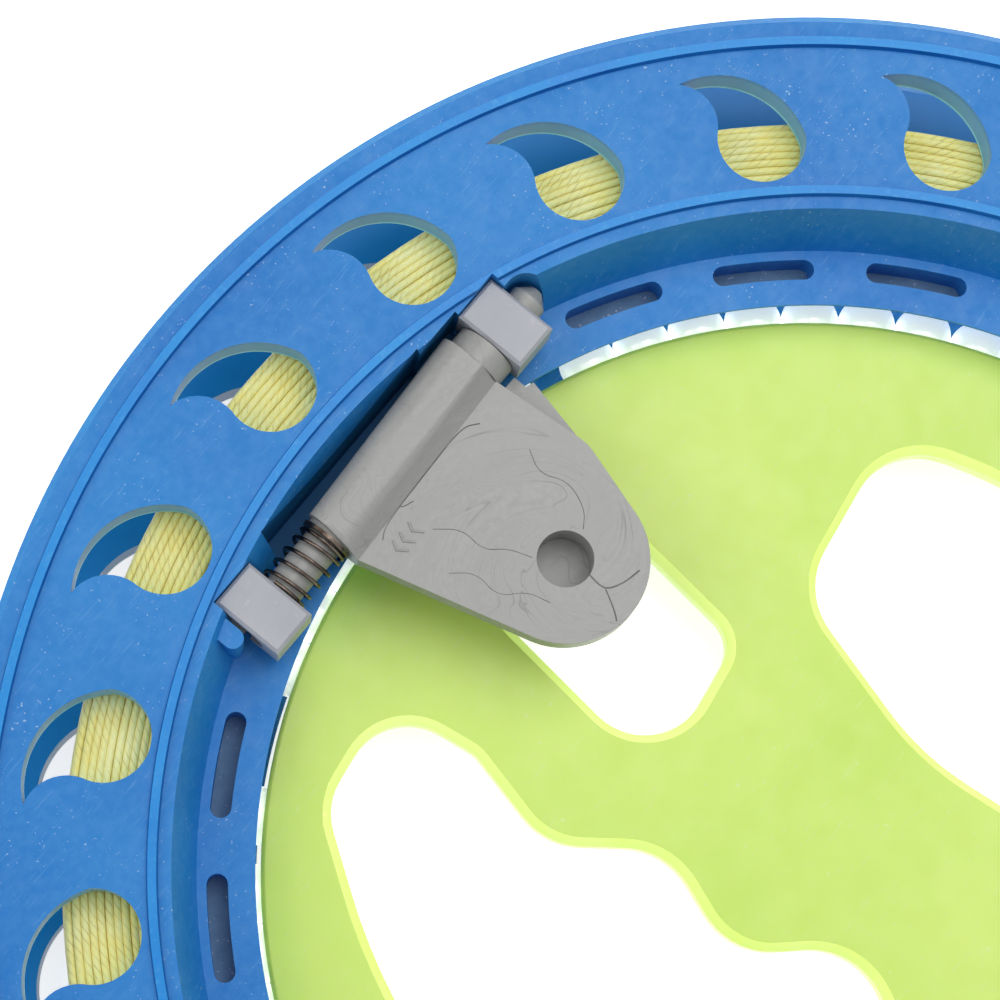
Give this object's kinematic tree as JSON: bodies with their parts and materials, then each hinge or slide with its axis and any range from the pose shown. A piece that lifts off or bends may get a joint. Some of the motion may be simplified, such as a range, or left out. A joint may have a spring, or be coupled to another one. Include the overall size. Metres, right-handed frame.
{
  "type": "kite line winder",
  "caption": "Hand-held kite line reel: a ball-bearing line ring with comma-shaped windows turns on a disc with grip openings, and a sprung handle folds out of the recess.",
  "frame": {"origin": "on the spin axis, in the plane of the back beads that the reel lies on", "axes": "+Z along the spin axis out of the front face, +X along the hinge pin of the handle, +Y from the spin axis out through that hinge"},
  "size_m": [0.18, 0.18, 0.0249],
  "materials": {
    "blue_plastic": "moulded, satin",
    "green_plastic": "moulded, slightly translucent",
    "ball_steel": "polished",
    "line": "twisted line",
    "block_plastic": "moulded, matt",
    "handle_plastic": "moulded with flow marks",
    "spring_steel": "drawn wire"
  },
  "bodies": {
    "hub": {"hub_disc": "green_plastic"},
    "ball_set": {"bearing_balls": "ball_steel"},
    "ring": {"front_flange": "blue_plastic", "back_flange": "blue_plastic", "line_winding": "line", "lower_pin_block": "block_plastic", "upper_pin_block": "block_plastic", "hinge_spring": "spring_steel"},
    "slider": {"thrust_washer": "spring_steel"},
    "handle": {"folding_handle": "handle_plastic"}
  },
  "joints": [
    {"name": "ring_spin", "type": "hinge", "parent": "hub", "child": "ring", "pos_m": [0, 0, 0.0065], "axis": [0, 0, 1], "continuous": true},
    {"name": "ball_orbit", "type": "hinge", "parent": "hub", "child": "ball_set", "pos_m": [0, 0, 0.0065], "axis": [0, 0, 1], "continuous": true},
    {"name": "handle_slide", "type": "slide", "parent": "ring", "child": "slider", "axis": [-1, 0, 0], "range_m": [0, 0.003], "stiffness_N_per_m": 500, "springref_m": -0.002, "deforming": ["hinge_spring"]},
    {"name": "handle_fold", "type": "hinge", "parent": "slider", "child": "handle", "pos_m": [0, 0.06227, 0.0203], "axis": [-1, 0, 0], "range_deg": [0, 120]}
  ],
  "couplings": [
    {"joint": "ball_orbit", "follows": "ring_spin", "ratio": 0.526}
  ]
}
